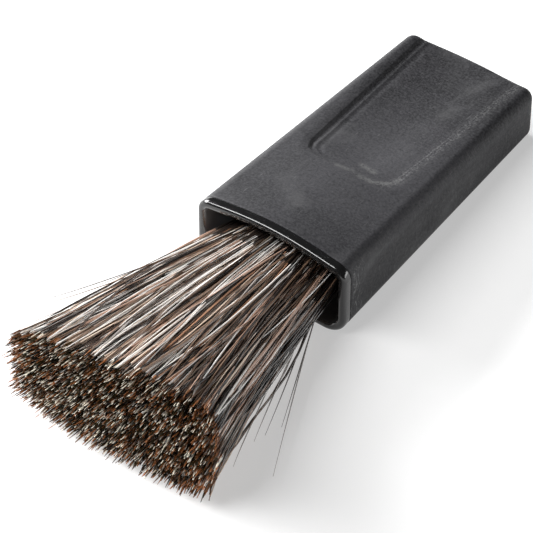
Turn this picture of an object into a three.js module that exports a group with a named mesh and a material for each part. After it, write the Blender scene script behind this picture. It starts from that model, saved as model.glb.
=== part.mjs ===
// A short hand brush for cleaning soldering tips and electronics.
// A moulded grip holds a glossy collar in its mouth, and behind it a socket block that grips the hair roots.
// Units are millimetres. X runs across the brush, +Y runs from the hairs to the back of the grip, +Z is up.
// The origin is the middle of the grip's flat underside.
import * as THREE from 'three';

// Grip
const GRIP_LENGTH = 49.9;
const MOUTH_Y = -GRIP_LENGTH / 2;
const MOUTH_HALF_WIDTH = 12.6;
const BACK_HALF_WIDTH = 10.95;
const MOUTH_HEIGHT = 12.6;
const BACK_HEIGHT = 8.8;
const CROWN_AT_MOUTH = 1.45;
const CROWN_AT_BACK = 0.4;
const CROWN_SHARPNESS = 1.45;
const MOUTH_TOP_RADIUS = 2;
const MOUTH_BOTTOM_RADIUS = 3.4;
const BACK_TOP_RADIUS = 1.6;
const BACK_BOTTOM_RADIUS = 1.5;
const BACK_EDGE_RADIUS = 1.45;
const GRIP_FRONT = 1.6;

// Thumb recess in the top of the grip, open at the back
const RECESS_FRONT = 17.3;
const RECESS_HALF_WIDTH_FRONT = 7;
const RECESS_HALF_WIDTH_BACK = 8.4;
const RECESS_CORNER_RADIUS = 3.2;
const RECESS_RAMP = 6;
const RECESS_STEP = 0.2;

// The land beside the recess rolls down to it, steeper on the left than on the right
const LAND_WIDTH = 2;
const LAND_DROP = 0.42;
const RIGHT_LAND_SHARE = 0.45;

// The recess has a small wall, lower on the right, and a dished floor
const WALL_DEPTH = 0.16;
const WALL_WIDTH = 0.45;
const RIGHT_WALL_SHARE = 0.3;
const DISH_DEPTH = 0.6;

// At the foot of the wall: a groove, a low rib and a second groove, faint on the right
const FOOT_GROOVE_DEPTH = 0.2;
const FOOT_GROOVE_HALF_WIDTH = 0.5;
const RIB_HEIGHT = 0.03;
const RIB_INSET = 0.66;
const RIB_HALF_WIDTH = 0.3;
const INNER_GROOVE_DEPTH = 0.06;
const INNER_GROOVE_INSET = 1.3;
const INNER_GROOVE_HALF_WIDTH = 0.6;
const RIGHT_FOOT_SHARE = 0.1;

// The groove ends in a small pocket at the front left corner, and the front of the recess has a low bead
const CORNER_POCKET = { x: -5.9, behind: 19.3, depth: 0.08, radius: 1.3 };
const FRONT_BEAD_HEIGHT = 0.06;
const FRONT_BEAD_HALF_WIDTH = 0.9;

// Pocket in the mouth of the grip: a wide front for the collar, and a narrower back for the socket block
const COLLAR_POCKET_INSET = 0.6;
const SOCKET_POCKET_INSET = 1.6;
const COLLAR_POCKET_DEPTH = 7;
const POCKET_DEPTH = 15;

// Mouth collar
const LIP_RADIUS = 0.68;
const LIP_LENGTH = 1.5;
const COLLAR_OUTER_INSET = 0.7;
const COLLAR_LENGTH = 6.8;

// Socket block, with the blind oval hole that holds the hair roots
const SOCKET_INSET = 1.75;
const SOCKET_FRONT = 7.2;
const SOCKET_BACK = 14.8;
const SOCKET_HOLE_DEPTH = 13.4;
const SOCKET_HOLE_HALF = [9, 3.6];
const BUNDLE_CENTRE_Z = 6;

// Root bundle, its band and the adhesive behind it
const ROOTS_HALF = [8.1, 3];
const ROOTS_RANGE = [7.2, 12.2];
const BAND_INNER_HALF = [8.2, 3.1];
const BAND_OUTER_HALF = [8.5, 3.4];
const BAND_RANGE = [8.4, 11.4];
const ADHESIVE_HALF = [8.8, 3.4];
const ADHESIVE_RANGE = [12.4, 13.2];

// Loose hairs. Their distances are behind the mouth too, so that what is ahead of it is negative.
const LOCK_COLUMNS = 5;
const LOCK_ROWS = 3;
const LOCK_START = 5;
const LOCK_GAP = 0.3;
const TUFT_ROOT_HALF = [7.8, 3.1];
const TUFT_TIP_HALF = [16.8, 9.2];
const TUFT_ROOT_Z = 6.1;
const TUFT_TIP_Z = 10.9;
const TUFT_ROOT_ROUNDNESS = 0.5;
const TUFT_TIP_ROUNDNESS_BELOW = 0.06;
const TUFT_TIP_ROUNDNESS_ABOVE = 0.38;
const TUFT_REACH = -37.2;
const TUFT_SIDE_PULLBACK = 1.1;
const TUFT_TOP_SKEW = 0.75;
const TUFT_ROOT_SHIFT = -0.4;
const TUFT_TOP_SHIFT = 0.6;
const TUFT_TILT = 0.5;
const TUFT_STATIONS = 6;

const HALF_TURN = Math.PI;
const QUARTER_TURN = Math.PI / 2;

const group = new THREE.Group();

const FINISHES = {
  grip: { color: 0x424246, roughness: 0.62, metalness: 0 },
  collar: { color: 0x0d0d0e, roughness: 0.18, metalness: 0 },
  socket: { color: 0x141415, roughness: 0.55, metalness: 0 },
  adhesive: { color: 0x7a5a2c, roughness: 0.2, metalness: 0 },
  band: { color: 0xb9bcc0, roughness: 0.35, metalness: 1 },
  roots: { color: 0x2e251f, roughness: 0.6, metalness: 0 },
  hair: { color: 0x5b4a3f, roughness: 0.5, metalness: 0 },
};

function addMesh(name, geometry, finish) {
  const mesh = new THREE.Mesh(geometry, new THREE.MeshStandardMaterial(FINISHES[finish]));
  mesh.name = name;
  group.add(mesh);
}

function lerp(a, b, t) {
  return a + (b - a) * t;
}

function smoothStep(from, to, value) {
  const t = Math.min(1, Math.max(0, (value - from) / (to - from)));
  return t * t * (3 - 2 * t);
}

// The signed volume of a triangle list, positive when its faces point outwards.
function signedVolume(points, triangles) {
  let volume = 0;
  for (let i = 0; i < triangles.length; i += 3) {
    const [a, b, c] = [0, 1, 2].map((k) => new THREE.Vector3(...points[triangles[i + k]]));
    volume += a.dot(b.cross(c)) / 6;
  }
  return volume;
}

// A solid skinned over rings of equal length. A loop joins its last ring to its first, and otherwise
// both ends are capped.
function skin(rings, { loop = false } = {}) {
  const size = rings[0].length;
  const points = rings.flat();
  let triangles = [];
  const lastBand = loop ? rings.length : rings.length - 1;
  for (let r = 0; r < lastBand; r += 1) {
    const near = r * size;
    const far = ((r + 1) % rings.length) * size;
    for (let i = 0; i < size; i += 1) {
      const next = (i + 1) % size;
      triangles.push(near + i, near + next, far + next, near + i, far + next, far + i);
    }
  }
  if (!loop) {
    capEnd(points, triangles, 0, size, true);
    capEnd(points, triangles, (rings.length - 1) * size, size, false);
  }
  if (signedVolume(points, triangles) < 0) triangles = triangles.reverse();
  const geometry = new THREE.BufferGeometry();
  geometry.setAttribute('position', new THREE.Float32BufferAttribute(points.flat(), 3));
  geometry.setIndex(triangles);
  geometry.computeVertexNormals();
  return geometry;
}

// Closes one end of a skin with a fan round the middle of its ring.
function capEnd(points, triangles, first, size, isStart) {
  const ring = points.slice(first, first + size);
  const middle = [0, 1, 2].map((k) => ring.reduce((sum, p) => sum + p[k], 0) / size);
  const centre = points.push(middle) - 1;
  for (let i = 0; i < size; i += 1) {
    const next = (i + 1) % size;
    if (isStart) triangles.push(centre, first + next, first + i);
    else triangles.push(centre, first + i, first + next);
  }
}

// Where a cross-section stands: how far behind the mouth, and how far inside the grip's outer surface.
function gripHalfWidth(behind) {
  return lerp(MOUTH_HALF_WIDTH, BACK_HALF_WIDTH, behind / GRIP_LENGTH);
}

function gripHeight(behind) {
  return lerp(MOUTH_HEIGHT, BACK_HEIGHT, behind / GRIP_LENGTH);
}

function gripCrown(behind) {
  const share = Math.min(1, Math.max(0, behind / GRIP_LENGTH));
  return lerp(CROWN_AT_BACK, CROWN_AT_MOUTH, (1 - share) ** 1.5);
}

function recessHalfWidth(behind) {
  const share = (behind - RECESS_FRONT) / (GRIP_LENGTH - RECESS_FRONT);
  return lerp(RECESS_HALF_WIDTH_FRONT, RECESS_HALF_WIDTH_BACK, share);
}

// A rounded ridge one unit high where the distance is 0.
function ridge(distance, halfWidth) {
  return 1 - smoothStep(0, 1, Math.abs(distance) / halfWidth);
}

// How far a point of the top is inside the outline of the recess, which is negative outside it.
function recessInside(x, behind) {
  const fromSide = recessHalfWidth(behind) - Math.abs(x);
  const fromFront = behind - RECESS_FRONT;
  if (fromSide < RECESS_CORNER_RADIUS && fromFront < RECESS_CORNER_RADIUS) {
    const fromCentre = Math.hypot(RECESS_CORNER_RADIUS - fromSide, RECESS_CORNER_RADIUS - fromFront);
    return RECESS_CORNER_RADIUS - fromCentre;
  }
  return Math.min(fromSide, fromFront);
}

// How far the land beside the recess has rolled down at a point.
function landDepth(x, inside, fromFront) {
  const rolled = LAND_DROP * Math.min(1, Math.max(0, 1 + inside / LAND_WIDTH)) ** 2;
  const started = smoothStep(-0.5 * RECESS_RAMP, 0.5 * RECESS_RAMP, fromFront);
  return rolled * started * lerp(1, RIGHT_LAND_SHARE, smoothStep(0, 6, x));
}

// The grooves and the rib at the foot of the wall.
function footDepth(x, inside, fromFront) {
  const depth = FOOT_GROOVE_DEPTH * ridge(inside, FOOT_GROOVE_HALF_WIDTH)
    - RIB_HEIGHT * ridge(inside - RIB_INSET, RIB_HALF_WIDTH)
    + INNER_GROOVE_DEPTH * ridge(inside - INNER_GROOVE_INSET, INNER_GROOVE_HALF_WIDTH);
  return depth * (x < 0 ? 1 : RIGHT_FOOT_SHARE) * smoothStep(0.3, 1.6, fromFront);
}

// How far the thumb recess and the lands beside it lower the crowned top at a point.
function recessDepth(x, behind) {
  const fromFront = behind - RECESS_FRONT;
  const inside = recessInside(x, behind);
  const wall = WALL_DEPTH * lerp(1, RIGHT_WALL_SHARE, smoothStep(0, 6, x));
  const dish = DISH_DEPTH * Math.max(0, 1 - (x / recessHalfWidth(behind)) ** 2);
  const ramp = lerp(RECESS_STEP, 1, smoothStep(0, RECESS_RAMP, fromFront));
  const floor = (wall + dish) * smoothStep(0, WALL_WIDTH, inside) * ramp;
  const fromPocket = Math.hypot(x - CORNER_POCKET.x, behind - CORNER_POCKET.behind);
  const pocket = CORNER_POCKET.depth * ridge(fromPocket, CORNER_POCKET.radius);
  const bead = FRONT_BEAD_HEIGHT * ridge(inside, FRONT_BEAD_HALF_WIDTH) * (1 - smoothStep(0.5, 3, fromFront));
  return landDepth(x, inside, fromFront) + footDepth(x, inside, fromFront) + floor + pocket - bead;
}

// The x values of the top of a section, right to left, closest together along the feet of the recess.
function topStations(straightHalf, behind) {
  const foot = recessHalfWidth(Math.max(behind, RECESS_FRONT));
  const fromFoot = [0.5, 0.25, 0, -0.25, -0.5, -0.75, -1, -1.25, -1.6, -2.2, -3];
  const nearFoot = fromFoot.map((offset) => foot + offset);
  const half = [lerp(foot + 0.5, straightHalf, 0.5), ...nearFoot, foot * 0.4, foot * 0.2];
  return [...half, 0, ...half.map((x) => -x).reverse()];
}

function arcPoints(centreX, centreZ, radius, fromAngle, steps) {
  const points = [];
  for (let i = 0; i <= steps; i += 1) {
    const angle = fromAngle + (QUARTER_TURN * i) / steps;
    points.push([centreX + radius * Math.cos(angle), centreZ + radius * Math.sin(angle)]);
  }
  return points;
}

// A rounded rectangular section of the grip, counter-clockwise seen from the mouth, set in by inset.
function gripSection(behind, inset, { recessed = false } = {}) {
  const half = gripHalfWidth(behind) - inset;
  const bottom = inset;
  const top = gripHeight(behind) - inset;
  const share = behind / GRIP_LENGTH;
  const topRadius = Math.max(0.5, lerp(MOUTH_TOP_RADIUS, BACK_TOP_RADIUS, share) - inset);
  const bottomRadius = Math.max(0.5, lerp(MOUTH_BOTTOM_RADIUS, BACK_BOTTOM_RADIUS, share) - inset);
  const sideHeights = [0.25, 0.5, 0.75].map((level) => lerp(bottom + bottomRadius, top - topRadius, level));
  const bottomShares = [-0.75, -0.5, -0.25, 0, 0.25, 0.5, 0.75];
  const outline = [
    ...arcPoints(half - bottomRadius, bottom + bottomRadius, bottomRadius, -QUARTER_TURN, 5),
    ...sideHeights.map((z) => [half, z]),
    ...arcPoints(half - topRadius, top - topRadius, topRadius, 0, 6),
    ...topStations(half - topRadius, behind).map((x) => [x, top]),
    ...arcPoints(topRadius - half, top - topRadius, topRadius, QUARTER_TURN, 6),
    ...sideHeights.reverse().map((z) => [-half, z]),
    ...arcPoints(bottomRadius - half, bottom + bottomRadius, bottomRadius, HALF_TURN, 5),
    ...bottomShares.map((side) => [side * (half - bottomRadius), bottom]),
  ];
  const middle = (bottom + top) / 2;
  return outline.map(([x, z]) => {
    if (z < middle) return [x, MOUTH_Y + behind, z];
    const fromEdge = Math.max(0, 1 - (x / half) ** 2);
    const crown = gripCrown(behind) * fromEdge ** CROWN_SHARPNESS;
    const cut = recessed ? recessDepth(x, behind) * Math.max(0, 1 - inset) : 0;
    return [x, MOUTH_Y + behind, z + crown - cut];
  });
}

// Sections for the outer skin, closer together at the front of the recess, then the rounded back edge.
function gripOuterSections() {
  const beforeRecess = [GRIP_FRONT, 4, 8, 12, 14.5, 15.7, 16.5, 17];
  const intoRecess = [0, 0.2, 0.4, 0.65, 0.9, 1.2, 1.5, 1.8, 2.1, 2.4, 2.8, 3.2, 3.8, 4.6, 6, 8];
  const alongRecess = [29, 34, 39, 44];
  const stations = [...beforeRecess, ...intoRecess.map((d) => RECESS_FRONT + d), ...alongRecess];
  const rings = stations.map((behind) => gripSection(behind, 0, { recessed: true }));
  const start = GRIP_LENGTH - BACK_EDGE_RADIUS;
  const steps = 6;
  for (let i = 0; i <= steps; i += 1) {
    const angle = (QUARTER_TURN * i) / steps;
    const behind = start + BACK_EDGE_RADIUS * Math.sin(angle);
    const inset = BACK_EDGE_RADIUS * (1 - Math.cos(angle));
    rings.push(gripSection(behind, inset, { recessed: true }));
  }
  return rings;
}

function buildGrip() {
  const rings = [
    gripSection(POCKET_DEPTH, SOCKET_POCKET_INSET),
    gripSection(COLLAR_POCKET_DEPTH, SOCKET_POCKET_INSET),
    gripSection(COLLAR_POCKET_DEPTH, COLLAR_POCKET_INSET),
    gripSection(GRIP_FRONT, COLLAR_POCKET_INSET),
    ...gripOuterSections(),
  ];
  addMesh('grip', skin(rings), 'grip');
}

// The collar is a sleeve inside the mouth with a fully rounded lip that stands in front of the grip.
function buildCollar() {
  const profile = [[2 * LIP_RADIUS, COLLAR_LENGTH]];
  const steps = 10;
  for (let i = 0; i <= steps; i += 1) {
    const angle = (HALF_TURN * i) / steps;
    profile.push([LIP_RADIUS * (1 + Math.cos(angle)), LIP_RADIUS * (1 - Math.sin(angle))]);
  }
  profile.push([0, LIP_LENGTH], [COLLAR_OUTER_INSET, LIP_LENGTH], [COLLAR_OUTER_INSET, COLLAR_LENGTH]);
  const rings = profile.map(([inset, behind]) => gripSection(behind, inset));
  addMesh('mouth_collar', skin(rings, { loop: true }), 'collar');
}

// An oval ring whose points lie in the same directions from the centre as the points of another ring.
function ovalLike(ring, [halfX, halfZ], centreZ, behind) {
  return ring.map(([x, , z]) => {
    const angle = Math.atan2((z - centreZ) / halfZ, x / halfX);
    return [halfX * Math.cos(angle), MOUTH_Y + behind, centreZ + halfZ * Math.sin(angle)];
  });
}

function buildSocket() {
  const front = gripSection(SOCKET_FRONT, SOCKET_INSET);
  const back = gripSection(SOCKET_BACK, SOCKET_INSET);
  const rings = [
    ovalLike(front, SOCKET_HOLE_HALF, BUNDLE_CENTRE_Z, SOCKET_HOLE_DEPTH),
    ovalLike(front, SOCKET_HOLE_HALF, BUNDLE_CENTRE_Z, SOCKET_FRONT),
    front,
    back,
  ];
  addMesh('root_socket', skin(rings), 'socket');
}

function ovalRing([halfX, halfZ], behind) {
  const ring = [];
  const steps = 40;
  for (let i = 0; i < steps; i += 1) {
    const angle = (2 * HALF_TURN * i) / steps;
    ring.push([halfX * Math.cos(angle), MOUTH_Y + behind, BUNDLE_CENTRE_Z + halfZ * Math.sin(angle)]);
  }
  return ring;
}

function buildRoots() {
  const roots = ROOTS_RANGE.map((behind) => ovalRing(ROOTS_HALF, behind));
  addMesh('hair_roots', skin(roots), 'roots');
  const adhesive = ADHESIVE_RANGE.map((behind) => ovalRing(ADHESIVE_HALF, behind));
  addMesh('adhesive_plug', skin(adhesive), 'adhesive');
  const band = [
    ovalRing(BAND_INNER_HALF, BAND_RANGE[0]),
    ovalRing(BAND_OUTER_HALF, BAND_RANGE[0]),
    ovalRing(BAND_OUTER_HALF, BAND_RANGE[1]),
    ovalRing(BAND_INNER_HALF, BAND_RANGE[1]),
  ];
  addMesh('root_band', skin(band, { loop: true }), 'band');
}

// A point in the tuft. across and up run from -1 to 1 over the bundle, and along runs from 0 at the
// socket to 1 at the tips.
function tuftPoint(across, up, along) {
  const halfX = lerp(TUFT_ROOT_HALF[0], TUFT_TIP_HALF[0], along);
  const halfZ = lerp(TUFT_ROOT_HALF[1], TUFT_TIP_HALF[1], along);
  const tipRoundness = lerp(TUFT_TIP_ROUNDNESS_BELOW, TUFT_TIP_ROUNDNESS_ABOVE, (up + 1) / 2);
  const roundness = lerp(TUFT_ROOT_ROUNDNESS, tipRoundness, along);
  const shift = lerp(TUFT_ROOT_SHIFT, TUFT_TOP_SHIFT * (1 + up), along);
  const x = across * halfX * Math.sqrt(1 - roundness * up * up) + shift;
  const middle = lerp(TUFT_ROOT_Z, TUFT_TIP_Z, along) + TUFT_TILT * across * along;
  const z = middle + up * halfZ * Math.sqrt(1 - roundness * across * across);
  const reach = TUFT_REACH + TUFT_SIDE_PULLBACK * across * across + TUFT_TOP_SKEW * across * (1 + up);
  return [x, MOUTH_Y + lerp(LOCK_START, reach, along), z];
}

// The outline of one lock of hairs, one cell of the bundle's grid, a little smaller than the cell.
function lockRing(column, row, along) {
  const gapAcross = LOCK_GAP / 2 / TUFT_ROOT_HALF[0];
  const gapUp = LOCK_GAP / 2 / TUFT_ROOT_HALF[1];
  const left = -1 + (2 * column) / LOCK_COLUMNS + gapAcross;
  const right = -1 + (2 * (column + 1)) / LOCK_COLUMNS - gapAcross;
  const low = -1 + (2 * row) / LOCK_ROWS + gapUp;
  const high = -1 + (2 * (row + 1)) / LOCK_ROWS - gapUp;
  const steps = 4;
  const corners = [
    [left, low],
    [right, low],
    [right, high],
    [left, high],
  ];
  const ring = [];
  corners.forEach((corner, i) => {
    const next = corners[(i + 1) % corners.length];
    for (let k = 0; k < steps; k += 1) {
      const across = lerp(corner[0], next[0], k / steps);
      const up = lerp(corner[1], next[1], k / steps);
      ring.push(tuftPoint(across, up, along));
    }
  });
  return ring;
}

function buildLocks() {
  const rowNames = ['lower', 'middle', 'upper'];
  for (let row = 0; row < LOCK_ROWS; row += 1) {
    for (let column = 0; column < LOCK_COLUMNS; column += 1) {
      const rings = [];
      for (let i = 0; i <= TUFT_STATIONS; i += 1) rings.push(lockRing(column, row, i / TUFT_STATIONS));
      addMesh(`hair_lock_${rowNames[row]}_${column + 1}`, skin(rings), 'hair');
    }
  }
}

buildGrip();
buildCollar();
buildSocket();
buildRoots();
buildLocks();

export default group;
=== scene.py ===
"""A short hand brush for cleaning soldering tips: a moulded grip, a glossy mouth and a flared tuft of hair.

Lengths are in millimetres in the CAD model's frame, and become metres in make_mesh(). X runs across the
brush, +Y from the hairs to the back of the grip and +Z up. The origin is the middle of the grip's flat
underside. "behind" is a distance behind the front of the mouth.
"""

import math

import bpy
import numpy as np
from mathutils import Matrix, Vector


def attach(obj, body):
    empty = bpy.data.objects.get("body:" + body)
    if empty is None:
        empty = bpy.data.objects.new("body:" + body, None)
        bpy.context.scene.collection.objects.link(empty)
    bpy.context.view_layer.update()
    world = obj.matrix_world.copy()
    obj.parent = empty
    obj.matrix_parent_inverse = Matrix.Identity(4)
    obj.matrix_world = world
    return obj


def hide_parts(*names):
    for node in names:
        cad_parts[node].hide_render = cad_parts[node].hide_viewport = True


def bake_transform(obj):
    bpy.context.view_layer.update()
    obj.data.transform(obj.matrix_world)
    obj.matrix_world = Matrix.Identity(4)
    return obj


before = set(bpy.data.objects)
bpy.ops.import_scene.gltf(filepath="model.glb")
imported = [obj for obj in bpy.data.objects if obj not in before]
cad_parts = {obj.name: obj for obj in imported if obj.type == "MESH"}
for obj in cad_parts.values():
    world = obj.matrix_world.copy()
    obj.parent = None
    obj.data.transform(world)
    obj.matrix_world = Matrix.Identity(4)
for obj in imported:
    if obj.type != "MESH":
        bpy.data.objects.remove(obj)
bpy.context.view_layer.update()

MM = 0.001

# Grip
GRIP_LENGTH = 49.9
MOUTH_Y = -GRIP_LENGTH / 2
MOUTH_HALF_WIDTH, BACK_HALF_WIDTH = 12.6, 10.95
MOUTH_HEIGHT, BACK_HEIGHT = 12.6, 8.8
CROWN_AT_MOUTH, CROWN_AT_BACK, CROWN_SHARPNESS = 1.45, 0.4, 1.45
MOUTH_TOP_RADIUS, BACK_TOP_RADIUS = 2.0, 1.6
MOUTH_BOTTOM_RADIUS, BACK_BOTTOM_RADIUS = 3.4, 1.5
SMALLEST_RADIUS = 0.5
BACK_EDGE_RADIUS = 1.45
GRIP_FRONT = 1.6
GRIP_FRONT_ROUNDING = 0.14

# Thumb recess: rolled lands beside it, a groove and a rib at its foot, and a dished floor
RECESS_FRONT = 17.3
RECESS_HALF_WIDTH_FRONT, RECESS_HALF_WIDTH_BACK = 7.0, 8.4
RECESS_CORNER_RADIUS = 3.2
RECESS_RAMP = 6
RECESS_STEP = 0.2
LAND_WIDTH, LAND_DROP = 2.0, 0.42
WALL_DEPTH, WALL_WIDTH = 0.16, 0.45
DISH_DEPTH = 0.6
FOOT_GROOVE_DEPTH, FOOT_GROOVE_HALF_WIDTH = 0.2, 0.5
RIB_HEIGHT, RIB_INSET, RIB_HALF_WIDTH = 0.03, 0.66, 0.3
INNER_GROOVE_DEPTH, INNER_GROOVE_INSET, INNER_GROOVE_HALF_WIDTH = 0.06, 1.3, 0.6
FOOT_START, FOOT_FULL = 0.3, 1.6
RIGHT_FOOT_SHARE, RIGHT_LAND_SHARE, RIGHT_WALL_SHARE = 0.1, 0.45, 0.3
RIGHT_SIDE_X = 6
CORNER_POCKET = (-5.9, 19.3)
CORNER_POCKET_DEPTH, CORNER_POCKET_RADIUS = 0.08, 1.3
FRONT_BEAD_HEIGHT, FRONT_BEAD_HALF_WIDTH = 0.06, 0.9
FRONT_BEAD_FULL, FRONT_BEAD_END = 0.5, 3
FINE_OUTSIDE, FINE_INSIDE = 0.5, 1.6

# Pocket in the mouth
COLLAR_POCKET_INSET, SOCKET_POCKET_INSET = 0.6, 1.6
COLLAR_POCKET_DEPTH, POCKET_DEPTH = 7, 15

# Mouth collar
LIP_RADIUS = 0.68
LIP_LENGTH = 1.5
COLLAR_OUTER_INSET = 0.7
COLLAR_LENGTH = 6.8
COLLAR_EDGE_ROUNDING = 0.08
INNER_WALL_RINGS = 6

# Tuft
LOCK_COLUMNS = 5
LOCK_ROWS = ("lower", "middle", "upper")
LOCK_START = 5
ROOT_START = 7
TUFT_ROOT_HALF = (7.8, 3.1)
TUFT_TIP_HALF = (16.8, 9.2)
TUFT_ROOT_Z, TUFT_TIP_Z = 6.1, 10.9
TUFT_ROOT_ROUNDNESS = 0.5
TUFT_TIP_ROUNDNESS_BELOW, TUFT_TIP_ROUNDNESS_ABOVE = 0.06, 0.38
TUFT_REACH = -37.2
TUFT_SIDE_PULLBACK = 1.1
TUFT_TOP_SKEW = 0.75
TUFT_ROOT_SHIFT, TUFT_TOP_SHIFT = -0.4, 0.6
TUFT_TILT = 0.5

# Hairs
HAIRS_PER_LOCK = 400
HAIR_SIDES = 4
HAIR_STATIONS = np.array([
    0, 0.09, 0.14, 0.19, 0.27, 0.37, 0.47, 0.57, 0.67, 0.77, 0.86, 0.93, 0.965, 0.985, 1.0,
])
HAIR_RADIUS, HAIR_RADIUS_SPREAD, HAIR_RADIUS_LIMITS = 0.12, 0.32, (0.07, 0.22)
HAIR_TAPER_START, HAIR_TIP_TAPER = 0.965, 0.35
HAIR_LENGTH_SPREAD, HAIR_LENGTH_LIMIT = 0.0055, 0.02
SHORT_HAIR_SHARE, SHORT_HAIR_LENGTHS = 0.03, (0.8, 0.97)
HAIR_CROSSING, ROOT_CROSSING_UP = (0.1, 0.07), 0.6
TIP_GATHER = 0.97
HAIR_BEND, HAIR_WAVE, WAVE_TURNS = 0.4, 0.15, (7, 17)
COARSE_SWAY, FINE_SWAY = 0.42, 0.2
LOOSE_HAIR_SHARE, LOOSE_HAIR_BEND = 0.05, 3.0
FRINGE_START = 0.9
HAIR_POINT = 0.8
SEED = 7

# Hair colours: name: (colour, roughness, share of the hairs)
# The white and silver hairs are partly real pale hairs and partly painted highlight, standing in for bright
# streaks of light along darker hairs.
HAIR_COLOURS = {
    "hair_black": ((0.013, 0.009, 0.008), 0.22, 0.18),
    "hair_dark_brown": ((0.055, 0.034, 0.024), 0.25, 0.12),
    "hair_brown": ((0.19, 0.12, 0.08), 0.27, 0.1),
    "hair_rose_brown": ((0.5, 0.33, 0.25), 0.27, 0.11),
    "hair_copper": ((0.55, 0.29, 0.17), 0.27, 0.03),
    "hair_beige": ((0.82, 0.66, 0.53), 0.27, 0.11),
    "hair_grey": ((0.42, 0.39, 0.37), 0.25, 0.05),
    "hair_silver": ((0.95, 0.90, 0.85), 0.2, 0.15),
    "hair_white": ((1.0, 0.98, 0.95), 0.18, 0.16),
}
# Tip colours: name: (colour, roughness, share of the tips). They are partly the ends' own colours and partly
# painted light: the dark tips paint the shade between the hair ends at the cut face, and the pale tips paint
# glints on them.
TIP_COLOURS = {
    "tip_black": ((0.005, 0.003, 0.001), 0.2, 0.35),
    "tip_olive": ((0.03, 0.021, 0.007), 0.2, 0.22),
    "tip_brown": ((0.12, 0.046, 0.015), 0.2, 0.17),
    "tip_auburn": ((0.34, 0.13, 0.05), 0.22, 0.1),
    "tip_pale_glint": ((1.0, 0.93, 0.78), 0.12, 0.16),
}
FRINGE_WEIGHTS = {"tip_olive": 0.2, "tip_brown": 0.45, "tip_auburn": 0.3, "tip_pale_glint": 0.05}
# The root colour is painted shade: the hairs go dark where they enter the mouth, under the lip.
ROOT_SHADE_COLOUR = ((0.022, 0.013, 0.009), 0.45)
DULL_TIPS = ("tip_black", "tip_olive", "tip_brown", "tip_auburn")
HAIR_SPECULAR, DULL_TIP_SPECULAR, HAIR_IOR = 1.0, 0.2, 1.55
LIGHT_HAIRS = ("hair_beige", "hair_grey", "hair_silver", "hair_white")
# Fewer light hairs on the right of the bundle: painted shade on the side that gets less light.
LIGHT_SHARE_IN_RIGHT_SHADE = 0.28

# Single hairs that leave the bundle: where each starts in it (across, up), a point that it bends towards
# and its end. The last two are (x, distance ahead of the mouth, z).
STRAY_HAIRS = [
    ((-0.9, 0.8), (-11.6, 20.0, 13.2), (-17.9, 29.2, 13.0)),
    ((-0.8, 0.9), (-11.2, 20.6, 13.0), (-17.2, 29.6, 13.0)),
    ((-0.9, 0.9), (-10.3, 14.0, 12.2), (-14.2, 22.3, 12.0)),
    ((-0.95, 0.6), (-12.5, 24.0, 12.4), (-17.6, 33.0, 11.5)),
    ((0.95, -0.2), (11.0, 6.5, 4.2), (20.5, 27.2, 2.0)),
    ((0.9, -0.4), (11.4, 8.5, 4.0), (16.4, 23.4, 4.0)),
    ((0.95, 0.0), (13.4, 18.0, 4.6), (15.9, 25.2, 4.0)),
    ((0.9, 0.2), (14.8, 26.5, 4.6), (16.3, 30.3, 4.0)),
    ((0.95, -0.1), (10.6, 5.0, 4.4), (17.0, 20.5, 3.4)),
]
STRAY_RADIUS = 0.085
STRAY_COLOURS = ("hair_grey", "hair_brown", "hair_dark_brown")

# Wear of the grip. Each rubbed mark at the front of the recess is the (x, behind) of both of its ends, and
# the top reaches down its rounded edges as far as TOP_BAND.
RUB_MARKS = [
    ((-1.2, 17.5), (1.0, 17.7)),
    ((1.1, 20.2), (3.4, 19.8)),
    ((2.6, 17.5), (4.6, 17.6)),
    ((4.6, 17.6), (6.3, 18.6)),
    ((6.3, 18.6), (7.3, 20.6)),
]
RUB_HALF_WIDTH = 0.85
TOP_BAND = 2.5
WEAR_OUTSIDE, WEAR_HALF_WIDTH, WEAR_ON_LEFT = 0.1, 1.3, 0.2
# The lighter haze on the top is partly handling haze and partly painted light. It is lighter towards the
# front, and less at the mouth and on the left, where it paints shade.
HAZE_AND_LIGHT_AT_MOUTH, HAZE_AND_LIGHT_ON_LEFT = 0.4, 0.5
SCUFF_LENGTH, SCUFF_ELSEWHERE = 6, 0.15

# Camera, floor and light
CAMERA_AIM = (-6.09, -17.43, -3.19)
CAMERA_AZIMUTH, CAMERA_ELEVATION, CAMERA_ROLL = 36.25, 45.74, 0.11
CAMERA_DISTANCE = 500
LENS = 238.56
FLOOR_SIZE = 4
FLOOR_COLOURS = (0.52, 0.52, 0.52), (0.55, 0.55, 0.55)
FLOOR_GLOW = 0.46
WORLD_STRENGTH = 0.06
SOFTBOX_DISTANCE = 1

# Softboxes: name: (direction, direction of the long side, (length, width) in metres, watts)
SOFTBOXES = {
    "key": ((-0.41, -0.48, 0.775), (0.91, -0.23, 0.34), (0.75, 0.25), 10),
    "left": ((-0.92, 0.0, 0.4), (0, 1, 0), (0.9, 0.3), 30),
    "rim": ((0.82, 0.56, 0.1), (-0.56, 0.82, 0), (0.9, 0.2), 2.6),
}


# --- shape helpers ---

def lerp(a, b, t):
    return a + (b - a) * t


def smooth_step(start, end, value):
    t = np.clip((value - start) / (end - start), 0, 1)
    return t * t * (3 - 2 * t)


def make_mesh(name, points, faces):
    """An object from points in millimetres."""
    mesh = bpy.data.meshes.new(name)
    mesh.from_pydata((np.asarray(points) * MM).tolist(), [], faces)
    mesh.validate()
    obj = bpy.data.objects.new(name, mesh)
    bpy.context.scene.collection.objects.link(obj)
    return obj


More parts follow.
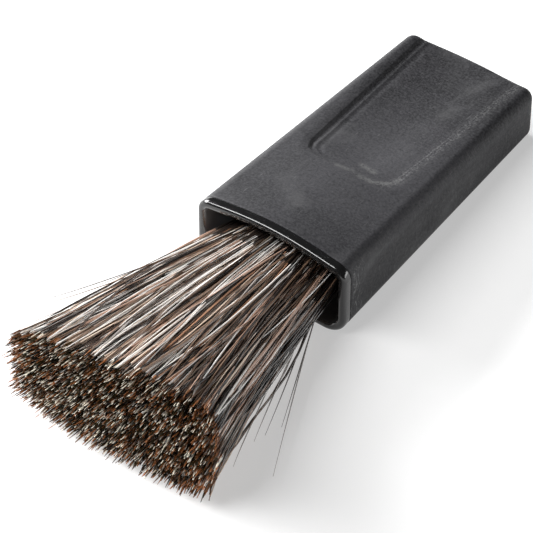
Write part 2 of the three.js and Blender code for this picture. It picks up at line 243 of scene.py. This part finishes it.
def ring_faces(rings, size, loop):
    """Quads between rings of equal size, and a cap on each end unless the last ring joins the first."""
    faces = []
    for ring in range(rings if loop else rings - 1):
        near, far = ring * size, (ring + 1) % rings * size
        for i in range(size):
            after = (i + 1) % size
            faces.append((near + i, near + after, far + after, far + i))
    if not loop:
        last = (rings - 1) * size
        faces.append(tuple(range(size))[::-1])
        faces.append(tuple(range(last, last + size)))
    return faces


def skin(name, rings, loop=False, sharp_angle=35):
    """A smooth-shaded skin over rings of points, with its normals outwards and its hard edges kept sharp."""
    obj = make_mesh(name, np.concatenate(rings), ring_faces(len(rings), len(rings[0]), loop))
    mesh = obj.data
    volume = sum(p.center.dot(p.normal) * p.area for p in mesh.polygons)
    if volume < 0:
        mesh.flip_normals()
    mesh.shade_smooth()
    mesh.set_sharp_from_angle(angle=math.radians(sharp_angle))
    return obj


# --- grip and collar ---

def recess_half_width(behind):
    share = (behind - RECESS_FRONT) / (GRIP_LENGTH - RECESS_FRONT)
    return lerp(RECESS_HALF_WIDTH_FRONT, RECESS_HALF_WIDTH_BACK, share)


def recess_inside(x, behind):
    """How far a point of the top is inside the outline of the thumb recess, and how far behind its front.
    The first is negative outside the outline, and the second ahead of the front."""
    from_side = recess_half_width(behind) - np.abs(x)
    from_front = np.full_like(from_side, behind - RECESS_FRONT)
    inside = np.minimum(from_side, from_front)
    corner = np.hypot(RECESS_CORNER_RADIUS - from_side, RECESS_CORNER_RADIUS - from_front)
    in_corner = (from_side < RECESS_CORNER_RADIUS) & (from_front < RECESS_CORNER_RADIUS)
    return np.where(in_corner, RECESS_CORNER_RADIUS - corner, inside), from_front


def ridge(distance, half_width):
    """A rounded ridge one unit high where the distance is 0."""
    return 1 - smooth_step(0, 1, np.abs(distance) / half_width)


def recess_depth(x, behind):
    """How far the thumb recess and its lands lower the top at a point."""
    inside, from_front = recess_inside(x, behind)
    ramp = lerp(RECESS_STEP, 1, smooth_step(0, RECESS_RAMP, from_front))
    land = LAND_DROP * np.clip(1 + inside / LAND_WIDTH, 0, 1) ** 2
    land *= smooth_step(-0.5 * RECESS_RAMP, 0.5 * RECESS_RAMP, from_front)
    rightness = smooth_step(0, RIGHT_SIDE_X, x)
    land *= lerp(1, RIGHT_LAND_SHARE, rightness)
    wall = WALL_DEPTH * smooth_step(0, WALL_WIDTH, inside) * lerp(1, RIGHT_WALL_SHARE, rightness)
    across = x / recess_half_width(behind)
    dish = DISH_DEPTH * np.clip(1 - across**2, 0, 1) * smooth_step(0, WALL_WIDTH, inside)
    foot = (
        FOOT_GROOVE_DEPTH * ridge(inside, FOOT_GROOVE_HALF_WIDTH)
        - RIB_HEIGHT * ridge(inside - RIB_INSET, RIB_HALF_WIDTH)
        + INNER_GROOVE_DEPTH * ridge(inside - INNER_GROOVE_INSET, INNER_GROOVE_HALF_WIDTH)
    )
    foot *= np.where(x < 0, 1, RIGHT_FOOT_SHARE) * smooth_step(FOOT_START, FOOT_FULL, from_front)
    from_pocket = np.hypot(x - CORNER_POCKET[0], behind - CORNER_POCKET[1])
    pocket = CORNER_POCKET_DEPTH * ridge(from_pocket, CORNER_POCKET_RADIUS)
    bead = FRONT_BEAD_HEIGHT * ridge(inside, FRONT_BEAD_HALF_WIDTH)
    bead *= 1 - smooth_step(FRONT_BEAD_FULL, FRONT_BEAD_END, from_front)
    return land + (wall + dish) * ramp + foot + pocket - bead


def top_stations(straight_half, behind):
    """The x values of the top of a section, right to left, closest together along the feet of the recess."""
    foot = recess_half_width(max(behind, RECESS_FRONT))
    half = np.concatenate([
        np.linspace(straight_half, foot + FINE_OUTSIDE + 0.05, 16)[1:],
        np.linspace(foot + FINE_OUTSIDE, foot - FINE_INSIDE, 34),
        np.linspace(foot - FINE_INSIDE, 0, 18)[1:-1],
    ])
    return np.concatenate([half, [0], -half[::-1]])


def arc(centre_x, centre_z, radius, quarter, steps):
    """A quarter circle. Quarter 0 runs from the right to the top, and 1 from the top to the left."""
    angles = (quarter + np.linspace(0, 1, steps + 1)) * math.pi / 2
    return np.column_stack([centre_x + radius * np.cos(angles), centre_z + radius * np.sin(angles)])


def grip_section(behind, inset, recessed=False):
    """A rounded section of the grip, set in by inset from its outside, as a closed ring of points."""
    share = behind / GRIP_LENGTH
    half = lerp(MOUTH_HALF_WIDTH, BACK_HALF_WIDTH, share) - inset
    bottom, top = inset, lerp(MOUTH_HEIGHT, BACK_HEIGHT, share) - inset
    upper = max(SMALLEST_RADIUS, lerp(MOUTH_TOP_RADIUS, BACK_TOP_RADIUS, share) - inset)
    lower = max(SMALLEST_RADIUS, lerp(MOUTH_BOTTOM_RADIUS, BACK_BOTTOM_RADIUS, share) - inset)
    heights = np.linspace(bottom + lower, top - upper, 9)[1:-1]
    stations = top_stations(half - upper, behind)
    base = np.linspace(lower - half, half - lower, 11)[1:-1]
    outline = np.vstack([
        arc(half - lower, bottom + lower, lower, -1, 12),
        np.column_stack([np.full(7, half), heights]),
        arc(half - upper, top - upper, upper, 0, 12),
        np.column_stack([stations, np.full(len(stations), top)]),
        arc(upper - half, top - upper, upper, 1, 12),
        np.column_stack([np.full(7, -half), heights[::-1]]),
        arc(lower - half, bottom + lower, lower, 2, 12),
        np.column_stack([base, np.full(9, bottom)]),
    ])
    x, z = outline.T
    crown_height = lerp(CROWN_AT_BACK, CROWN_AT_MOUTH, np.clip(1 - share, 0, 1) ** 1.5)
    raised = crown_height * np.clip(1 - (x / half) ** 2, 0, None) ** CROWN_SHARPNESS
    if recessed:
        raised -= recess_depth(x, behind) * np.clip(1 - inset, 0, 1)
    z = z + np.where(z > (bottom + top) / 2, raised, 0)
    return np.column_stack([x, np.full(len(x), MOUTH_Y + behind), z])


def grip_rings():
    """Sections from the bottom of the pocket out to the mouth, and along the outside to the back. They are
    closest together round the front of the recess."""
    stations = np.concatenate([
        np.linspace(GRIP_FRONT + 0.4, RECESS_FRONT - 1.2, 24),
        np.linspace(RECESS_FRONT - 1, RECESS_FRONT + 4.2, 48),
        np.linspace(RECESS_FRONT + 4.5, GRIP_LENGTH - BACK_EDGE_RADIUS, 42)[:-1],
    ])
    rings = [
        grip_section(POCKET_DEPTH, SOCKET_POCKET_INSET),
        grip_section(COLLAR_POCKET_DEPTH, SOCKET_POCKET_INSET),
        grip_section(COLLAR_POCKET_DEPTH, COLLAR_POCKET_INSET),
        grip_section(GRIP_FRONT, COLLAR_POCKET_INSET),
    ]
    for angle in np.linspace(0, math.pi / 2, 5):
        inset = GRIP_FRONT_ROUNDING * (1 - math.sin(angle))
        rings.append(grip_section(GRIP_FRONT + GRIP_FRONT_ROUNDING * (1 - math.cos(angle)), inset))
    rings += [grip_section(behind, 0, recessed=True) for behind in stations]
    start = GRIP_LENGTH - BACK_EDGE_RADIUS
    for angle in np.linspace(0, math.pi / 2, 11):
        inset = BACK_EDGE_RADIUS * (1 - math.cos(angle))
        rings.append(grip_section(start + BACK_EDGE_RADIUS * math.sin(angle), inset, recessed=True))
    return rings


def collar_rings():
    """The sleeve inside the mouth and its fully rounded lip."""
    profile = [(2 * LIP_RADIUS, COLLAR_LENGTH)]
    for angle in np.linspace(0, math.pi, 19):
        profile.append((LIP_RADIUS * (1 + math.cos(angle)), LIP_RADIUS * (1 - math.sin(angle))))
    profile += [
        (0, LIP_LENGTH - COLLAR_EDGE_ROUNDING),
        (COLLAR_EDGE_ROUNDING * 0.3, LIP_LENGTH - COLLAR_EDGE_ROUNDING * 0.3),
        (COLLAR_EDGE_ROUNDING, LIP_LENGTH),
        (COLLAR_OUTER_INSET, LIP_LENGTH),
        (COLLAR_OUTER_INSET, COLLAR_LENGTH),
    ]
    return [grip_section(behind, inset) for inset, behind in profile]


# --- hairs ---

def tuft_point(across, up, along):
    """A point in the tuft. across and up run from -1 to 1 over the bundle, and along runs from 0 at the
    socket to 1 at the tips."""
    half_x = lerp(TUFT_ROOT_HALF[0], TUFT_TIP_HALF[0], along)
    half_z = lerp(TUFT_ROOT_HALF[1], TUFT_TIP_HALF[1], along)
    tip_roundness = lerp(TUFT_TIP_ROUNDNESS_BELOW, TUFT_TIP_ROUNDNESS_ABOVE, (up + 1) / 2)
    roundness = lerp(TUFT_ROOT_ROUNDNESS, tip_roundness, along)
    x = across * half_x * np.sqrt(np.clip(1 - roundness * up**2, 0, None))
    shift = lerp(TUFT_ROOT_SHIFT, TUFT_TOP_SHIFT * (1 + up), along)
    reach = TUFT_REACH + TUFT_SIDE_PULLBACK * across**2 + TUFT_TOP_SKEW * across * (1 + up)
    y = MOUTH_Y + lerp(LOCK_START, reach, along)
    z = up * half_z * np.sqrt(np.clip(1 - roundness * across**2, 0, None))
    rise = lerp(TUFT_ROOT_Z, TUFT_TIP_Z, along)
    return np.stack([x + shift, y, z + rise + TUFT_TILT * across * along], -1)


def tube(path, radii):
    """Points round a path: a ring of HAIR_SIDES points at each of its points, and one that closes the tip."""
    tangents = np.gradient(path, axis=0)
    tangents /= np.linalg.norm(tangents, axis=1)[:, None]
    side = np.cross(tangents, (0, 0, 1.0))
    side /= np.linalg.norm(side, axis=1)[:, None]
    over = np.cross(side, tangents)
    angles = np.arange(HAIR_SIDES) * 2 * math.pi / HAIR_SIDES
    spokes = np.cos(angles)[None, :, None] * side[:, None] + np.sin(angles)[None, :, None] * over[:, None]
    rings = path[:, None] + spokes * radii[:, None, None]
    return np.vstack([rings.reshape(-1, 3), path[-1] + tangents[-1] * radii[-1] * HAIR_POINT])


def tube_faces(first, stations):
    """The faces of a tube whose points start at first. Its root end is open, inside the socket."""
    faces = []
    for s in range(stations - 1):
        for i in range(HAIR_SIDES):
            a, b = first + s * HAIR_SIDES + i, first + s * HAIR_SIDES + (i + 1) % HAIR_SIDES
            faces.append((a, b, b + HAIR_SIDES, a + HAIR_SIDES))
    last = first + (stations - 1) * HAIR_SIDES
    for i in range(HAIR_SIDES):
        faces.append((last + i, last + (i + 1) % HAIR_SIDES, last + HAIR_SIDES))
    return faces


def lock_sway(across, up, along):
    """A sideways shift that draws neighbouring hairs together into small locks, with gaps between them."""
    coarse = COARSE_SWAY * np.sin(23 * across + 5 * up + 1.3 * np.sin(7 * up))
    fine = FINE_SWAY * np.sin(61 * across - 9 * up + 2.1 * np.sin(11 * across))
    return (coarse + fine) * along**0.8


def hair_path(rng, across, up, length):
    """The course of one hair from the socket to its tip. It crosses its neighbours, bends and waves."""
    start = (LOCK_START - ROOT_START) / (LOCK_START - TUFT_REACH)
    along = lerp(start, length, HAIR_STATIONS)
    free = np.clip(along, 0, None)
    crossing = rng.normal(0, HAIR_CROSSING, 2)
    root = across - crossing[0], up - crossing[1] * ROOT_CROSSING_UP
    end = np.clip(np.array([across, up]) * TIP_GATHER + crossing, -1, 1)
    path = tuft_point(lerp(root[0], end[0], free), lerp(root[1], end[1], free), along)
    looseness = LOOSE_HAIR_BEND if rng.random() < LOOSE_HAIR_SHARE else 1
    bend = rng.normal(0, HAIR_BEND * looseness, 2) * np.sin(free * math.pi)[:, None]
    wave = rng.normal(0, HAIR_WAVE, 2)
    wave = wave * np.sin(free[:, None] * rng.uniform(*WAVE_TURNS, 2) + rng.uniform(0, 6, 2))
    offset = bend + wave * free[:, None] ** 0.5
    path[:, 0] += offset[:, 0] + lock_sway(across, up, free)
    path[:, 2] += offset[:, 1]
    return path


def hair_length(rng, across, up):
    """A hair's length as a share of the full one: even, apart from a few short ones and a ragged fringe."""
    if rng.random() < SHORT_HAIR_SHARE:
        return rng.uniform(*SHORT_HAIR_LENGTHS)
    edge = smooth_step(FRINGE_START, 1, max(abs(across), abs(up)))
    change = rng.normal(0, HAIR_LENGTH_SPREAD * (1 + edge))
    return 1 + np.clip(change, -HAIR_LENGTH_LIMIT, HAIR_LENGTH_LIMIT)


def pick(rng, weights):
    names = list(weights)
    shares = np.array([weights[name] for name in names])
    return names[rng.choice(len(names), p=shares / shares.sum())]


def weights_of(colours):
    return {name: weight for name, (_, _, weight) in colours.items()}


def body_weights(across):
    """The shares of the hair colours: the right side of the bundle has fewer light hairs, which is painted
    shade on the side away from the light.
    """
    weights = weights_of(HAIR_COLOURS)
    for name in LIGHT_HAIRS:
        weights[name] *= lerp(1, LIGHT_SHARE_IN_RIGHT_SHADE, smooth_step(0.2, 0.9, across))
    return weights


def hair_materials():
    """One plain material for each colour of a hair. A hair is too thin to show a pattern, so the variety is
    between hairs."""
    made = {}
    colours = {**HAIR_COLOURS, **TIP_COLOURS}
    finishes = {name: (colour, roughness) for name, (colour, roughness, _) in colours.items()}
    # Painted shade on the roots of the hairs, inside the mouth.
    finishes["hair_root"] = ROOT_SHADE_COLOUR
    for name, (colour, roughness) in finishes.items():
        material = bpy.data.materials.new(name)
        material.use_nodes = True
        shader = material.node_tree.nodes["Principled BSDF"]
        shader.inputs["Base Color"].default_value = (*colour, 1)
        shader.inputs["Roughness"].default_value = roughness
        shader.inputs["IOR"].default_value = HAIR_IOR
        specular = DULL_TIP_SPECULAR if name in DULL_TIPS else HAIR_SPECULAR
        shader.inputs["Specular IOR Level"].default_value = specular
        made[name] = material
    return made


def hair_object(name, hairs, materials):
    """One object from each hair's path, its radii and the names of its colours, station by station."""
    points, faces, slots = [], [], []
    slot_of = {name: slot for slot, name in enumerate(materials)}
    count = 0
    for path, radii, colours in hairs:
        points.append(tube(path, radii))
        faces += tube_faces(count, len(path))
        slots += np.repeat([slot_of[colour] for colour in colours], HAIR_SIDES).tolist()
        count += len(points[-1])
    obj = make_mesh(name, np.concatenate(points), faces)
    for material in materials.values():
        obj.data.materials.append(material)
    obj.data.polygons.foreach_set("material_index", np.array(slots, dtype=np.int32))
    obj.data.shade_smooth()
    return obj


def new_hair(rng, path, across, fringe):
    """A hair with its thickness and colours: darker at its root in the mouth, which is painted shade, and
    another colour at its tip.
    """
    radius = np.clip(HAIR_RADIUS * math.exp(rng.normal(0, HAIR_RADIUS_SPREAD)), *HAIR_RADIUS_LIMITS)
    taper = lerp(1, HAIR_TIP_TAPER, smooth_step(HAIR_TAPER_START, 1, HAIR_STATIONS))
    root_stations, tip_stations = int(rng.integers(1, 4)), int(rng.integers(2, 4))
    body_stations = len(path) - root_stations - tip_stations
    body = pick(rng, body_weights(across))
    tip = pick(rng, FRINGE_WEIGHTS if fringe else weights_of(TIP_COLOURS))
    colours = ["hair_root"] * root_stations + [body] * body_stations + [tip] * tip_stations
    return path, radius * taper, colours


def lock_hairs(rng, column, row):
    """The hairs of one lock, which start all over its share of the bundle."""
    hairs = []
    for _ in range(HAIRS_PER_LOCK):
        across = -1 + 2 * (column + rng.random()) / LOCK_COLUMNS
        up = -1 + 2 * (row + rng.random()) / len(LOCK_ROWS)
        path = hair_path(rng, across, up, hair_length(rng, across, up))
        hairs.append(new_hair(rng, path, across, fringe=max(abs(across), -up) > FRINGE_START))
    return hairs


def ahead(point):
    """A point in the model's frame from (x, distance ahead of the mouth, z)."""
    return np.array([point[0], MOUTH_Y - point[1], point[2]])


def stray_hair(rng, start, towards, end):
    """A hair that leaves the bundle on one even curve."""
    start = tuft_point(np.float64(start[0]), np.float64(start[1]), np.float64(0.05))
    t = HAIR_STATIONS[:, None]
    path = start * (1 - t) ** 2 + ahead(towards) * 2 * t * (1 - t) + ahead(end) * t**2
    colour = STRAY_COLOURS[rng.integers(len(STRAY_COLOURS))]
    radius = STRAY_RADIUS * lerp(1, HAIR_TIP_TAPER, smooth_step(0.6, 1, HAIR_STATIONS))
    return path, radius, [colour] * len(path)


def build_hairs():
    materials = hair_materials()
    rng = np.random.default_rng(SEED)
    locks = []
    for row, row_name in enumerate(LOCK_ROWS):
        for column in range(LOCK_COLUMNS):
            node = f"hair_lock_{row_name}_{column + 1}"
            hairs = lock_hairs(rng, column, row)
            lock = hair_object(f"hairs_{row_name}_{column + 1}", hairs, materials)
            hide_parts(node)
            locks.append(lock)
    strays = [stray_hair(rng, *points) for points in STRAY_HAIRS]
    locks.append(hair_object("stray_hairs", strays, materials))
    for piece in locks:
        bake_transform(piece)


# --- materials ---

class Nodes:
    """Builds one procedural material, with object coordinates in millimetres."""

    def __init__(self, name):
        self.material = bpy.data.materials.new(name)
        self.material.use_nodes = True
        self.tree = self.material.node_tree
        self.shader = self.tree.nodes["Principled BSDF"]
        coordinates = self.tree.nodes.new("ShaderNodeTexCoord")
        self.position = self.mapped(coordinates.outputs["Object"], (1 / MM,) * 3)

    def add(self, kind, **inputs):
        node = self.tree.nodes.new(kind)
        for name, value in inputs.items():
            self.feed(node.inputs[name.replace("_", " ")], value)
        return node

    def feed(self, socket, value):
        if isinstance(value, bpy.types.NodeSocket):
            self.tree.links.new(value, socket)
        else:
            socket.default_value = value

    def mapped(self, vector, scale):
        return self.add("ShaderNodeMapping", Vector=vector, Scale=scale).outputs["Vector"]

    def noise(self, scale, detail=3.0, roughness=0.5, stretch=(1, 1, 1), distortion=0.0):
        vector = self.position if stretch == (1, 1, 1) else self.mapped(self.position, stretch)
        node = self.add("ShaderNodeTexNoise", Vector=vector, Scale=scale, Detail=detail, Roughness=roughness)
        node.inputs["Distortion"].default_value = distortion
        return node.outputs["Fac"]

    def range(self, value, low, high, to_low=0.0, to_high=1.0):
        node = self.add("ShaderNodeMapRange", Value=value)
        node.interpolation_type = "SMOOTHSTEP"
        for name, number in (("From Min", low), ("From Max", high), ("To Min", to_low), ("To Max", to_high)):
            node.inputs[name].default_value = number
        return node.outputs["Result"]

    def math(self, operation, a, b):
        node = self.tree.nodes.new("ShaderNodeMath")
        node.operation = operation
        self.feed(node.inputs[0], a)
        self.feed(node.inputs[1], b)
        return node.outputs[0]

    def mix(self, factor, a, b):
        node = self.tree.nodes.new("ShaderNodeMix")
        node.data_type = "RGBA"
        self.feed(node.inputs["Factor"], factor)
        for socket, value in (("A", a), ("B", b)):
            target = [i for i in node.inputs if i.name == socket and i.type == "RGBA"][0]
            self.feed(target, value if isinstance(value, bpy.types.NodeSocket) else (*value, 1))
        return [o for o in node.outputs if o.type == "RGBA"][0]

    def attribute(self, name):
        node = self.tree.nodes.new("ShaderNodeAttribute")
        node.attribute_name = name
        return node.outputs["Fac"]

    def bump(self, *layers):
        """Stacks (height, depth in millimetres) layers and feeds the last normal to the shader."""
        normal = None
        for height, depth in layers:
            node = self.add("ShaderNodeBump", Height=height, Distance=depth * MM)
            if normal:
                self.feed(node.inputs["Normal"], normal)
            normal = node.outputs["Normal"]
        self.feed(self.shader.inputs["Normal"], normal)

    def finish(self, colour, roughness, **constants):
        self.feed(self.shader.inputs["Base Color"], colour)
        self.feed(self.shader.inputs["Roughness"], roughness)
        for name, value in constants.items():
            self.shader.inputs[name.replace("_", " ")].default_value = value
        return self.material


def grip_plastic():
    """Matt charcoal moulded plastic with a lighter haze that is partly handling haze and partly painted
    light, faint scratches, pits and worn edges.
    """
    n = Nodes("grip_plastic")
    mottle = n.noise(0.3, detail=5.0, roughness=0.6)
    colour = n.mix(n.range(mottle, 0.3, 0.7), (0.005, 0.0049, 0.006), (0.014, 0.0137, 0.0158))
    # Painted light mixed with handling haze: the top is lighter towards the front and fades to its own colour
    # at the back.
    haze_and_front_light = n.range(n.attribute("behind"), 22, 44, 0.52, 0.0)
    colour = n.mix(n.math("MULTIPLY", haze_and_front_light, n.attribute("haze_and_painted_light")), colour, (0.052, 0.0512, 0.0562))
    grain = n.noise(2.9, detail=3.0, roughness=0.65)
    colour = n.mix(n.range(grain, 0.3, 0.75, 0.0, 0.4), colour, (0.085, 0.085, 0.09))
    pits = n.noise(2.2, detail=2.0)
    colour = n.mix(n.range(pits, 0.56, 0.74, 0.0, 0.5), colour, (0.012, 0.012, 0.014))
    smudge = n.noise(0.14, detail=6.0, roughness=0.6, stretch=(1, 0.5, 1), distortion=0.5)
    colour = n.mix(n.range(smudge, 0.52, 0.75, 0.0, 0.35), colour, (0.095, 0.095, 0.097))
    scratch = n.noise(3.2, detail=2.0, stretch=(1, 0.06, 1))
    colour = n.mix(n.range(scratch, 0.68, 0.76, 0.0, 0.16), colour, (0.2, 0.2, 0.2))
    speck = n.noise(3.4, detail=3.0, roughness=0.7)
    worn = n.math("MULTIPLY", n.attribute("wear"), n.range(speck, 0.5, 0.62))
    colour = n.mix(n.math("MULTIPLY", worn, 0.22), colour, (0.24, 0.24, 0.235))
    chips = n.math("MULTIPLY", n.attribute("wear"), n.range(speck, 0.44, 0.36))
    colour = n.mix(n.math("MULTIPLY", chips, 0.85), colour, (0.025, 0.025, 0.027))
    streak = n.noise(2.0, detail=3.0, roughness=0.6, distortion=0.6)
    rubbed = n.math("MULTIPLY", n.attribute("rub"), n.range(streak, 0.36, 0.56))
    colour = n.mix(n.math("MULTIPLY", rubbed, 0.42), colour, (0.15, 0.15, 0.147))
    scuff = n.noise(1.1, detail=5.0, roughness=0.7, stretch=(1, 1.6, 0.5), distortion=1.0)
    scuffed = n.math("MULTIPLY", n.attribute("scuff"), n.range(scuff, 0.54, 0.62))
    colour = n.mix(n.math("MULTIPLY", scuffed, 0.45), colour, (0.3, 0.3, 0.3))
    roughness = n.range(smudge, 0.3, 0.8, 0.62, 0.52)
    n.bump((n.noise(4.2, detail=3.0), 0.014), (n.noise(0.7, detail=3.0), 0.02))
    return n.finish(colour, roughness, IOR=1.45, Specular_IOR_Level=0.27)


def collar_plastic():
    """Glossy black plastic with a little dust, finger grease and fine rubbed lines."""
    n = Nodes("collar_plastic")
    dust = n.noise(6.0, detail=2.0)
    colour = n.mix(n.range(dust, 0.66, 0.74, 0.0, 0.3), (0.006, 0.006, 0.0062), (0.04, 0.04, 0.04))
    rubbed = n.noise(1.4, detail=4.0, stretch=(1, 3, 0.4), distortion=0.5)
    colour = n.mix(n.range(rubbed, 0.64, 0.72, 0.0, 0.12), colour, (0.2, 0.2, 0.2))
    inner = n.attribute("inner")
    colour = n.mix(inner, colour, (0.09, 0.09, 0.092))
    grease = n.noise(0.6, detail=4.0, distortion=0.8)
    roughness = n.math("MAXIMUM", n.range(grease, 0.35, 0.7, 0.12, 0.2), n.math("MULTIPLY", inner, 0.55))
    n.bump((n.noise(0.9, detail=1.0), 0.003))
    return n.finish(colour, roughness, IOR=1.62)


def socket_plastic():
    """Black plastic of the block inside the mouth."""
    n = Nodes("socket_plastic")
    cloud = n.noise(0.8, detail=4.0)
    colour = n.mix(n.range(cloud, 0.35, 0.7), (0.03, 0.03, 0.031), (0.06, 0.06, 0.061))
    n.bump((n.noise(3.0, detail=2.0), 0.01))
    return n.finish(colour, n.range(cloud, 0.3, 0.7, 0.45, 0.6))


def band_steel():
    """Bright steel band with marks round it from drawing."""
    n = Nodes("band_steel")
    lines = n.noise(4.0, detail=3.0, stretch=(0.2, 4, 0.2))
    colour = n.mix(n.range(lines, 0.3, 0.7), (0.42, 0.43, 0.44), (0.62, 0.63, 0.64))
    n.bump((lines, 0.004))
    return n.finish(colour, n.range(lines, 0.3, 0.7, 0.28, 0.42), Metallic=1.0)


def cured_adhesive():
    """Amber adhesive with bubbles."""
    n = Nodes("cured_adhesive")
    cloud = n.noise(1.2, detail=4.0)
    colour = n.mix(n.range(cloud, 0.35, 0.7), (0.22, 0.11, 0.03), (0.36, 0.2, 0.07))
    n.bump((n.noise(2.5, detail=1.0), 0.03))
    return n.finish(colour, n.range(cloud, 0.3, 0.7, 0.15, 0.3))


def packed_hair():
    """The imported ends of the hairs, dark and grained along Y."""
    n = Nodes("packed_hair")
    strands = n.noise(6.0, detail=2.0, stretch=(1, 0.05, 1))
    colour = n.mix(n.range(strands, 0.35, 0.65), (0.008, 0.006, 0.005), (0.06, 0.04, 0.03))
    n.bump((strands, 0.06))
    return n.finish(colour, n.range(strands, 0.3, 0.7, 0.5, 0.65))


# --- assembly ---

def distance_to_line(x, behind, start, end):
    """How far points of the top are from the straight line between two of its points."""
    run = np.subtract(end, start)
    share = np.clip(((x - start[0]) * run[0] + (behind - start[1]) * run[1]) / run.dot(run), 0, 1)
    return np.hypot(x - start[0] - share * run[0], behind - start[1] - share * run[1])


def is_top(behind, z):
    """Whether a point is on the top of the grip, with the recess and the long rounded edges."""
    return z > lerp(MOUTH_HEIGHT, BACK_HEIGHT, behind / GRIP_LENGTH) - TOP_BAND


def wear_amounts(x, behind, z):
    """How worn each point is: along the feet of the recess, most on the right, and round its front."""
    inside = np.array([recess_inside(a, b)[0] for a, b in zip(x, np.maximum(behind, 0))])
    foot = ridge(inside + WEAR_OUTSIDE, WEAR_HALF_WIDTH)
    foot *= smooth_step(RECESS_FRONT - 2, RECESS_FRONT + 1, behind)
    side = lerp(WEAR_ON_LEFT, 1, smooth_step(-3, RIGHT_SIDE_X, x))
    return np.where(is_top(behind, z), foot * side, 0)


def haze_and_light_amounts(x, behind, z):
    """How much haze and painted light is on each point: the top only, less at the mouth and less on the left,
    where it is painted shade.
    """
    along = lerp(HAZE_AND_LIGHT_AT_MOUTH, 1, smooth_step(2, 14, behind))
    across = lerp(HAZE_AND_LIGHT_ON_LEFT, 1, smooth_step(-7, -1, x))
    return is_top(behind, z) * along * across


def rub_amounts(x, behind, z):
    """How rubbed each point is: the marks at the front of the recess."""
    marks = [ridge(distance_to_line(x, behind, *ends), RUB_HALF_WIDTH) for ends in RUB_MARKS]
    return np.where(is_top(behind, z), np.max(marks, axis=0), 0)


def scuff_amounts(x, behind, z):
    """How scuffed each point is: the sides close to the mouth, and the long edges a little."""
    near_mouth = 1 - smooth_step(2, SCUFF_LENGTH, behind)
    half_width = lerp(MOUTH_HALF_WIDTH, BACK_HALF_WIDTH, behind / GRIP_LENGTH)
    on_side = smooth_step(0.93, 0.99, np.abs(x) / half_width)
    return on_side * lerp(SCUFF_ELSEWHERE, 1, near_mouth)


def add_amount(obj, name, values):
    """Gives the materials of an object a value at each of its points."""
    layer = obj.data.attributes.new(name, "FLOAT", "POINT")
    layer.data.foreach_set("value", np.asarray(values, dtype=np.float32))


def build_grip():
    grip = skin("grip_shell", grip_rings())
    x, y, z = np.array([v.co for v in grip.data.vertices]).T / MM
    behind = y - MOUTH_Y
    add_amount(grip, "wear", wear_amounts(x, behind, z))
    add_amount(grip, "rub", rub_amounts(x, behind, z))
    add_amount(grip, "scuff", scuff_amounts(x, behind, z))
    add_amount(grip, "haze_and_painted_light", haze_and_light_amounts(x, behind, z))
    add_amount(grip, "behind", behind)
    grip.data.materials.append(grip_plastic())
    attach(grip, "handle")
    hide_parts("grip")


def build_collar():
    rings = collar_rings()
    collar = skin("mouth_lip", rings, loop=True)
    inner = np.zeros(len(rings))
    inner[:INNER_WALL_RINGS] = np.linspace(1, 0, INNER_WALL_RINGS) ** 0.5
    add_amount(collar, "inner", np.repeat(inner, len(rings[0])))
    collar.data.materials.append(collar_plastic())
    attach(collar, "handle")
    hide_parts("mouth_collar")


def finish_inner_nodes():
    """Gives the pieces inside the mouth, which keep their CAD shapes, their materials."""
    inner = {
        "root_socket": socket_plastic(),
        "root_band": band_steel(),
        "adhesive_plug": cured_adhesive(),
        "hair_roots": packed_hair(),
    }
    for node, material in inner.items():
        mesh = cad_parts[node].data
        mesh.materials.clear()
        mesh.materials.append(material)


# --- camera, floor and light ---

def add_camera():
    azimuth, elevation = math.radians(CAMERA_AZIMUTH), math.radians(CAMERA_ELEVATION)
    back = Vector((
        math.sin(azimuth) * math.cos(elevation),
        -math.cos(azimuth) * math.cos(elevation),
        math.sin(elevation),
    ))
    right = Vector((math.cos(azimuth), math.sin(azimuth), 0))
    roll = Matrix.Rotation(math.radians(CAMERA_ROLL), 3, "Z")
    turn = Matrix((right, back.cross(right), back)).transposed() @ roll
    place = (Vector(CAMERA_AIM) + back * CAMERA_DISTANCE) * MM
    data = bpy.data.cameras.new("camera")
    data.lens = LENS
    data.clip_start, data.clip_end = 0.01, 10
    camera = bpy.data.objects.new("camera", data)
    camera.matrix_world = Matrix.Translation(place) @ turn.to_4x4()
    bpy.context.scene.collection.objects.link(camera)
    bpy.context.scene.camera = camera


def add_floor():
    bpy.ops.mesh.primitive_plane_add(size=FLOOR_SIZE)
    floor = bpy.context.object
    floor.name = "floor"
    n = Nodes("floor_paper")
    tooth = n.noise(0.4, detail=3.0)
    n.bump((tooth, 0.01))
    colour = n.mix(tooth, *FLOOR_COLOURS)
    paper = n.finish(colour, n.range(tooth, 0.3, 0.7, 0.8, 0.9))
    n.shader.inputs["Emission Color"].default_value = (1, 1, 1, 1)
    n.shader.inputs["Emission Strength"].default_value = FLOOR_GLOW
    floor.data.materials.append(paper)


def add_softbox(name, direction, long_side, size, power):
    """A rectangular light in a direction from the brush, facing it, with its longer side along long_side."""
    data = bpy.data.lights.new(name, "AREA")
    data.shape = "RECTANGLE"
    data.size, data.size_y = size
    data.energy = power
    light = bpy.data.objects.new(name, data)
    towards = Vector(direction).normalized()
    across = towards.cross(Vector(long_side)).normalized()
    turn = Matrix((across.cross(towards), across, towards)).transposed()
    light.matrix_world = Matrix.Translation(towards * SOFTBOX_DISTANCE) @ turn.to_4x4()
    bpy.context.scene.collection.objects.link(light)


def add_light():
    world = bpy.data.worlds.new("studio")
    bpy.context.scene.world = world
    world.use_nodes = True
    background = world.node_tree.nodes["Background"]
    background.inputs["Color"].default_value = (1, 1, 1, 1)
    background.inputs["Strength"].default_value = WORLD_STRENGTH
    for name, softbox in SOFTBOXES.items():
        add_softbox(name, *softbox)
    bpy.context.scene.view_settings.view_transform = "Standard"


add_camera()
add_floor()
add_light()
build_grip()
build_collar()
finish_inner_nodes()
build_hairs()
